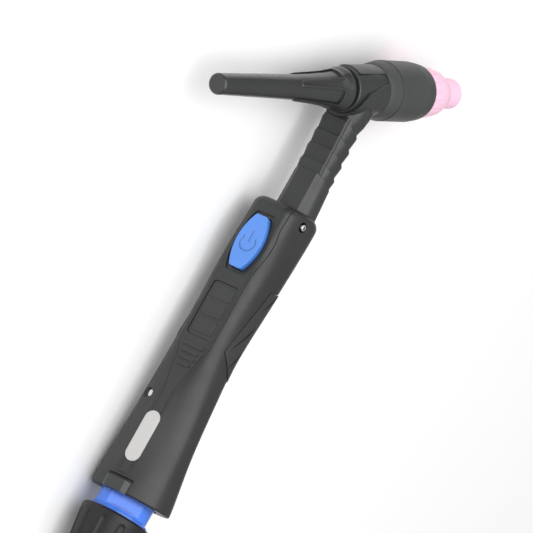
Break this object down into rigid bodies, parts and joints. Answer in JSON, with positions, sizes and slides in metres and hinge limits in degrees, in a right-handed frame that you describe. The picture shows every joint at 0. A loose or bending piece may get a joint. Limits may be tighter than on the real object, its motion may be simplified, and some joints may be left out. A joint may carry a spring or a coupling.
{
  "type": "tig welding torch",
  "caption": "Angled TIG welding torch with a contoured handle, push button, swivelling cable gland, ribbed neck, grooved ceramic nozzle and long tapering back cap.",
  "frame": {"origin": "centre of the cable opening in the gland nut's rear face", "axes": "+X along the handle from the cable end to the head, +Y on the push-button and back-cap side, +Z the torch's right-hand side, so the torch lies on its left side"},
  "size_m": [0.3087, 0.1988, 0.0442],
  "materials": {
    "handle": "satin moulded nylon, fine spark texture",
    "cover": "satin moulded nylon",
    "soft_grip": "matte overmoulded rubber",
    "label": "satin pale label",
    "latch": "satin moulded nylon",
    "button": "satin blue plastic",
    "rubber": "matte black rubber",
    "switch_case": "moulded black plastic",
    "board": "green circuit board",
    "steel": "zinc-plated steel",
    "brass": "turned brass",
    "gland": "satin moulded nylon",
    "collar_blue": "satin blue plastic",
    "neck": "satin moulded silicone rubber and resin",
    "copper": "turned copper",
    "head_grey": "matte heat-resistant resin",
    "tungsten": "ground tungsten",
    "gasket": "white PTFE",
    "ceramic": "pink alumina ceramic, satin",
    "cap": "glossy black phenolic resin"
  },
  "bodies": {
    "torch_body": {"handle_shell_right": "handle", "handle_shell_left": "handle", "top_cover": "cover", "grip_pad": "soft_grip", "label_plate": "label", "underside_grip": "soft_grip", "button_seal": "rubber", "microswitch": "switch_case", "switch_board": "board", "signal_socket": "switch_case", "shell_screws": "steel", "shell_nuts": "brass", "swivel_seat": "gland", "neck_sleeve": "neck", "neck_clamp": "handle", "power_tube": "copper", "power_adapter": "brass", "head_core": "copper", "head_shell": "neck", "head_collar": "head_grey", "collet_body": "copper", "gas_lens_screen": "steel", "collet": "copper"},
    "latch": {"rear_latch": "latch"},
    "button": {"power_button": "button"},
    "gland_nut": {"gland_nut": "gland"},
    "gland_thrust": {"gland_washer": "steel"},
    "swivel_ball": {"cable_grip": "rubber", "swivel_ball": "gland", "sleeve_circlip": "steel"},
    "swivel_collar": {"swivel_collar": "collar_blue"},
    "electrode": {"tungsten_electrode": "tungsten"},
    "nozzle_seal": {"nozzle_gasket": "gasket"},
    "nozzle": {"ceramic_nozzle": "ceramic"},
    "back_cap": {"back_cap": "cap"},
    "cap_seal": {"cap_o_ring": "rubber"}
  },
  "joints": [
    {"name": "button_press", "type": "slide", "parent": "torch_body", "child": "button", "axis": [0, -1, 0], "range_m": [0, 0.0015], "stiffness_N_per_m": 1000, "springref_m": -0.0008},
    {"name": "latch_slide", "type": "slide", "parent": "torch_body", "child": "latch", "axis": [1, 0, 0], "range_m": [0, 0.0012], "stiffness_N_per_m": 800, "springref_m": -0.0004},
    {"name": "swivel_tilt", "type": "hinge", "parent": "torch_body", "child": "swivel_ball", "pos_m": [0.0474, 0, 0], "axis": [0, 0, 1], "range_deg": [-6, 6]},
    {"name": "swivel_spin", "type": "hinge", "parent": "swivel_ball", "child": "swivel_collar", "pos_m": [0.0474, 0, 0], "axis": [1, 0, 0], "continuous": true},
    {"name": "gland_slide", "type": "slide", "parent": "swivel_collar", "child": "gland_thrust", "axis": [-1, 0, 0], "range_m": [0, 0.004]},
    {"name": "gland_turn", "type": "hinge", "parent": "gland_thrust", "child": "gland_nut", "pos_m": [0, 0, 0], "axis": [-1, 0, 0], "range_deg": [0, 720.01]},
    {"name": "cap_slide", "type": "slide", "parent": "torch_body", "child": "cap_seal", "axis": [-0.3875, 0.9219, 0], "range_m": [0, 0.0075]},
    {"name": "cap_turn", "type": "hinge", "parent": "cap_seal", "child": "back_cap", "pos_m": [0.2708, -0.0028, 0], "axis": [-0.3875, 0.9219, 0], "range_deg": [0, 2160.01]},
    {"name": "nozzle_slide", "type": "slide", "parent": "torch_body", "child": "nozzle_seal", "axis": [0.3875, -0.9219, 0], "range_m": [0, 0.006]},
    {"name": "nozzle_turn", "type": "hinge", "parent": "nozzle_seal", "child": "nozzle", "pos_m": [0.2708, -0.0028, 0], "axis": [0.3875, -0.9219, 0], "range_deg": [0, 1440.01]},
    {"name": "electrode_slide", "type": "slide", "parent": "torch_body", "child": "electrode", "axis": [-0.3875, 0.9219, 0], "range_m": [-0.008, 0.012]}
  ],
  "couplings": [
    {"joint": "gland_turn", "follows": "gland_slide", "rad_per_m": 3141.6},
    {"joint": "cap_turn", "follows": "cap_slide", "rad_per_m": 5026.5},
    {"joint": "nozzle_turn", "follows": "nozzle_slide", "rad_per_m": 4188.8}
  ]
}
